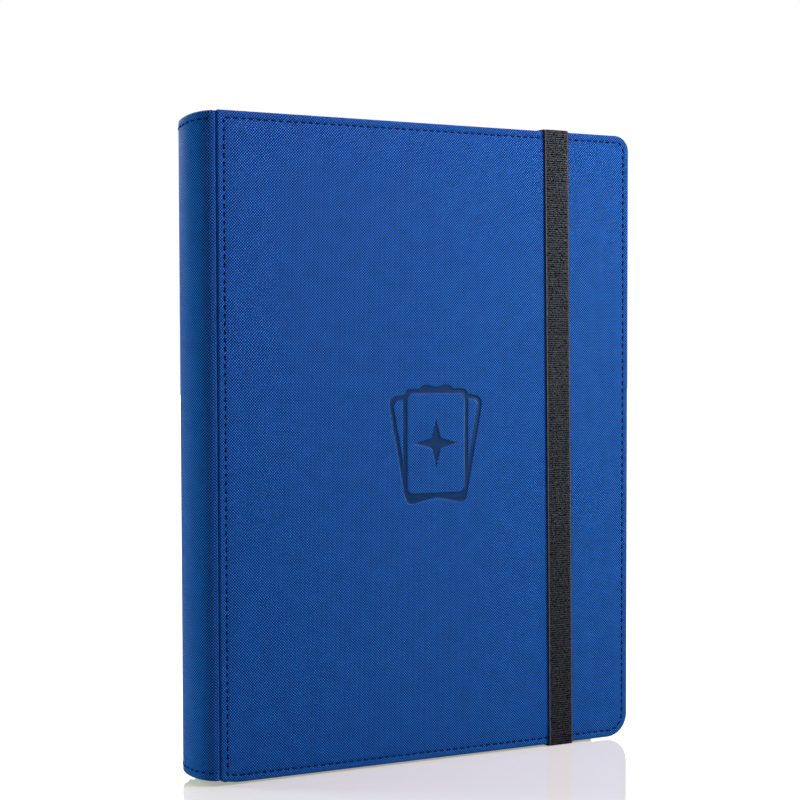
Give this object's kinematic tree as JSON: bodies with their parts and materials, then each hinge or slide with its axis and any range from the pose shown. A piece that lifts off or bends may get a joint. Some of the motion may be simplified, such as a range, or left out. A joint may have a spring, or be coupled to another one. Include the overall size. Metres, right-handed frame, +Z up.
{
  "type": "trading card binder",
  "caption": "Strap-closed trading card binder with padded fabric covers, a rounded spine and clear side-loading nine-pocket pages.",
  "frame": {"origin": "middle of the closed binder's box, on the surface that it stands on", "axes": "+Z up along the spine, -Y out of the front cover, -X out of the spine, +X towards the free edge"},
  "size_m": [0.262, 0.038, 0.34],
  "materials": {
    "cover_fabric": "woven texture, matt",
    "seam_thread": "spun polyester thread",
    "cover_foam": "closed-cell foam sheet",
    "cover_board": "grey board",
    "lining_fabric": "brushed lining cloth",
    "binding_plastic": "welded page margins, matt",
    "page_sheet": "matt film",
    "pocket_film": "clear film",
    "strap_elastic": "woven elastic webbing"
  },
  "bodies": {
    "back_cover": {"back_cover_shell": "cover_fabric", "back_cover_foam": "cover_foam", "back_cover_board": "cover_board", "back_cover_lining": "lining_fabric", "back_cover_stitching": "seam_thread", "strap_end_top": "strap_elastic", "strap_end_bottom": "strap_elastic"},
    "spine": {"spine_shell": "cover_fabric", "spine_board": "cover_board", "spine_lining": "lining_fabric", "spine_stitching": "seam_thread", "page_binding": "binding_plastic", "front_hinge_strip": "cover_fabric", "back_hinge_strip": "cover_fabric"},
    "front_cover": {"front_cover_shell": "cover_fabric", "front_cover_foam": "cover_foam", "front_cover_board": "cover_board", "front_cover_lining": "lining_fabric", "front_cover_stitching": "seam_thread"},
    "strap": {"elastic_strap": "strap_elastic"},
    "page_01": {"page_01_sheet": "page_sheet", "page_01_pockets": "pocket_film"},
    "page_02": {"page_02_sheet": "page_sheet", "page_02_pockets": "pocket_film"},
    "page_03": {"page_03_sheet": "page_sheet", "page_03_pockets": "pocket_film"},
    "page_04": {"page_04_sheet": "page_sheet", "page_04_pockets": "pocket_film"},
    "page_05": {"page_05_sheet": "page_sheet", "page_05_pockets": "pocket_film"},
    "page_06": {"page_06_sheet": "page_sheet", "page_06_pockets": "pocket_film"},
    "page_07": {"page_07_sheet": "page_sheet", "page_07_pockets": "pocket_film"},
    "page_08": {"page_08_sheet": "page_sheet", "page_08_pockets": "pocket_film"},
    "page_09": {"page_09_sheet": "page_sheet", "page_09_pockets": "pocket_film"},
    "page_10": {"page_10_sheet": "page_sheet", "page_10_pockets": "pocket_film"},
    "page_11": {"page_11_sheet": "page_sheet", "page_11_pockets": "pocket_film"},
    "page_12": {"page_12_sheet": "page_sheet", "page_12_pockets": "pocket_film"},
    "page_13": {"page_13_sheet": "page_sheet", "page_13_pockets": "pocket_film"},
    "page_14": {"page_14_sheet": "page_sheet", "page_14_pockets": "pocket_film"},
    "page_15": {"page_15_sheet": "page_sheet", "page_15_pockets": "pocket_film"},
    "page_16": {"page_16_sheet": "page_sheet", "page_16_pockets": "pocket_film"},
    "page_17": {"page_17_sheet": "page_sheet", "page_17_pockets": "pocket_film"},
    "page_18": {"page_18_sheet": "page_sheet", "page_18_pockets": "pocket_film"},
    "page_19": {"page_19_sheet": "page_sheet", "page_19_pockets": "pocket_film"},
    "page_20": {"page_20_sheet": "page_sheet", "page_20_pockets": "pocket_film"}
  },
  "joints": [
    {"name": "spine_hinge", "type": "hinge", "parent": "back_cover", "child": "spine", "pos_m": [-0.121, 0.0172, 0.17], "axis": [0, 0, -1], "range_deg": [0, 90], "deforming": ["back_hinge_strip"]},
    {"name": "front_cover_hinge", "type": "hinge", "parent": "spine", "child": "front_cover", "pos_m": [-0.121, -0.0172, 0.17], "axis": [0, 0, -1], "range_deg": [0, 90], "deforming": ["front_hinge_strip"]},
    {"name": "strap_release", "type": "hinge", "parent": "back_cover", "child": "strap", "pos_m": [0.0845, 0.01845, 0.17], "axis": [0, 0, 1], "range_deg": [0, 180], "deforming": ["elastic_strap"]},
    {"name": "page_01_turn", "type": "hinge", "parent": "spine", "child": "page_01", "pos_m": [-0.117, -0.01235, 0.17], "axis": [0, 0, -1], "range_deg": [0, 72]},
    {"name": "page_02_turn", "type": "hinge", "parent": "spine", "child": "page_02", "pos_m": [-0.117, -0.01105, 0.17], "axis": [0, 0, -1], "range_deg": [0, 64.42]},
    {"name": "page_03_turn", "type": "hinge", "parent": "spine", "child": "page_03", "pos_m": [-0.117, -0.00975, 0.17], "axis": [0, 0, -1], "range_deg": [0, 56.84]},
    {"name": "page_04_turn", "type": "hinge", "parent": "spine", "child": "page_04", "pos_m": [-0.117, -0.00845, 0.17], "axis": [0, 0, -1], "range_deg": [0, 49.27]},
    {"name": "page_05_turn", "type": "hinge", "parent": "spine", "child": "page_05", "pos_m": [-0.117, -0.00715, 0.17], "axis": [0, 0, -1], "range_deg": [0, 41.69]},
    {"name": "page_06_turn", "type": "hinge", "parent": "spine", "child": "page_06", "pos_m": [-0.117, -0.00585, 0.17], "axis": [0, 0, -1], "range_deg": [0, 34.1]},
    {"name": "page_07_turn", "type": "hinge", "parent": "spine", "child": "page_07", "pos_m": [-0.117, -0.00455, 0.17], "axis": [0, 0, -1], "range_deg": [0, 26.52]},
    {"name": "page_08_turn", "type": "hinge", "parent": "spine", "child": "page_08", "pos_m": [-0.117, -0.00325, 0.17], "axis": [0, 0, -1], "range_deg": [0, 18.95]},
    {"name": "page_09_turn", "type": "hinge", "parent": "spine", "child": "page_09", "pos_m": [-0.117, -0.00195, 0.17], "axis": [0, 0, -1], "range_deg": [0, 11.37]},
    {"name": "page_10_turn", "type": "hinge", "parent": "spine", "child": "page_10", "pos_m": [-0.117, -0.00065, 0.17], "axis": [0, 0, -1], "range_deg": [0, 3.79]},
    {"name": "page_11_turn", "type": "hinge", "parent": "spine", "child": "page_11", "pos_m": [-0.117, 0.00065, 0.17], "axis": [0, 0, -1], "range_deg": [-3.79, 0]},
    {"name": "page_12_turn", "type": "hinge", "parent": "spine", "child": "page_12", "pos_m": [-0.117, 0.00195, 0.17], "axis": [0, 0, -1], "range_deg": [-11.37, 0]},
    {"name": "page_13_turn", "type": "hinge", "parent": "spine", "child": "page_13", "pos_m": [-0.117, 0.00325, 0.17], "axis": [0, 0, -1], "range_deg": [-18.95, 0]},
    {"name": "page_14_turn", "type": "hinge", "parent": "spine", "child": "page_14", "pos_m": [-0.117, 0.00455, 0.17], "axis": [0, 0, -1], "range_deg": [-26.52, 0]},
    {"name": "page_15_turn", "type": "hinge", "parent": "spine", "child": "page_15", "pos_m": [-0.117, 0.00585, 0.17], "axis": [0, 0, -1], "range_deg": [-34.1, 0]},
    {"name": "page_16_turn", "type": "hinge", "parent": "spine", "child": "page_16", "pos_m": [-0.117, 0.00715, 0.17], "axis": [0, 0, -1], "range_deg": [-41.69, 0]},
    {"name": "page_17_turn", "type": "hinge", "parent": "spine", "child": "page_17", "pos_m": [-0.117, 0.00845, 0.17], "axis": [0, 0, -1], "range_deg": [-49.27, 0]},
    {"name": "page_18_turn", "type": "hinge", "parent": "spine", "child": "page_18", "pos_m": [-0.117, 0.00975, 0.17], "axis": [0, 0, -1], "range_deg": [-56.84, 0]},
    {"name": "page_19_turn", "type": "hinge", "parent": "spine", "child": "page_19", "pos_m": [-0.117, 0.01105, 0.17], "axis": [0, 0, -1], "range_deg": [-64.42, 0]},
    {"name": "page_20_turn", "type": "hinge", "parent": "spine", "child": "page_20", "pos_m": [-0.117, 0.01235, 0.17], "axis": [0, 0, -1], "range_deg": [-72, 0]}
  ],
  "couplings": [
    {"joint": "spine_hinge", "follows": "front_cover_hinge", "ratio": 1},
    {"joint": "strap_release", "follows": "front_cover_hinge", "ratio": 2},
    {"joint": "page_01_turn", "follows": "front_cover_hinge", "ratio": 0.8},
    {"joint": "page_02_turn", "follows": "front_cover_hinge", "ratio": 0.7158},
    {"joint": "page_03_turn", "follows": "front_cover_hinge", "ratio": 0.6316},
    {"joint": "page_04_turn", "follows": "front_cover_hinge", "ratio": 0.5474},
    {"joint": "page_05_turn", "follows": "front_cover_hinge", "ratio": 0.4632},
    {"joint": "page_06_turn", "follows": "front_cover_hinge", "ratio": 0.3789},
    {"joint": "page_07_turn", "follows": "front_cover_hinge", "ratio": 0.2947},
    {"joint": "page_08_turn", "follows": "front_cover_hinge", "ratio": 0.2105},
    {"joint": "page_09_turn", "follows": "front_cover_hinge", "ratio": 0.1263},
    {"joint": "page_10_turn", "follows": "front_cover_hinge", "ratio": 0.0421},
    {"joint": "page_11_turn", "follows": "front_cover_hinge", "ratio": -0.0421},
    {"joint": "page_12_turn", "follows": "front_cover_hinge", "ratio": -0.1263},
    {"joint": "page_13_turn", "follows": "front_cover_hinge", "ratio": -0.2105},
    {"joint": "page_14_turn", "follows": "front_cover_hinge", "ratio": -0.2947},
    {"joint": "page_15_turn", "follows": "front_cover_hinge", "ratio": -0.3789},
    {"joint": "page_16_turn", "follows": "front_cover_hinge", "ratio": -0.4632},
    {"joint": "page_17_turn", "follows": "front_cover_hinge", "ratio": -0.5474},
    {"joint": "page_18_turn", "follows": "front_cover_hinge", "ratio": -0.6316},
    {"joint": "page_19_turn", "follows": "front_cover_hinge", "ratio": -0.7158},
    {"joint": "page_20_turn", "follows": "front_cover_hinge", "ratio": -0.8}
  ]
}
